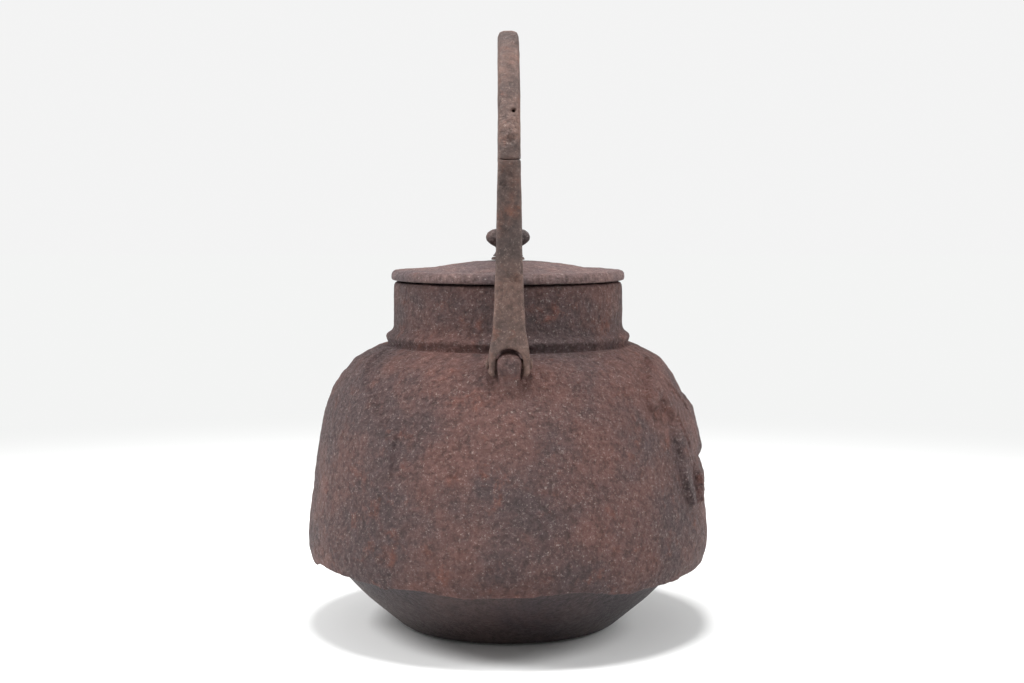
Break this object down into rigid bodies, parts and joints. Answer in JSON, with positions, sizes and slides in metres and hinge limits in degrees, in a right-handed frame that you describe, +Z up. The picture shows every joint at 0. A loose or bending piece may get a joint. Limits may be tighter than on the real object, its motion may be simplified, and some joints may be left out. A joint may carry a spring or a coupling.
{
  "type": "cast iron kettle",
  "caption": "Round cast iron kettle with a ragged skirt over a separate base pan, a short spout, a pinned iron arch handle, a lift-off lid and a lobed knob that turns.",
  "frame": {"origin": "centre of the flat underside, on the body's axis", "axes": "+Z up, +Y towards the spout, +X to the side with the horse in relief; the handle lies in the YZ plane"},
  "size_m": [0.1703, 0.1895, 0.2502],
  "materials": {
    "rusty_casting": "rough rusted sand-cast skin, reddish brown",
    "pan_casting": "smoother dark casting",
    "lid_casting": "fine rusted skin",
    "knob_casting": "rusted, worn on the high points",
    "forged_iron": "forged and pitted, brown"
  },
  "bodies": {
    "vessel": {"kettle_body": "rusty_casting", "base_pan": "pan_casting", "handle_leg_rear": "forged_iron", "handle_leg_front": "forged_iron", "handle_grip": "forged_iron", "pin_rear": "forged_iron", "pin_front": "forged_iron"},
    "lid": {"lid": "lid_casting", "knob_washer": "forged_iron"},
    "knob": {"lid_knob": "knob_casting", "knob_rivet": "forged_iron"}
  },
  "joints": [
    {"name": "lid_lift", "type": "slide", "parent": "vessel", "child": "lid", "axis": [0, 0, 1], "range_m": [0, 0.06]},
    {"name": "knob_spin", "type": "hinge", "parent": "lid", "child": "knob", "pos_m": [0, 0, 0.16], "axis": [0, 0, 1], "continuous": true}
  ]
}
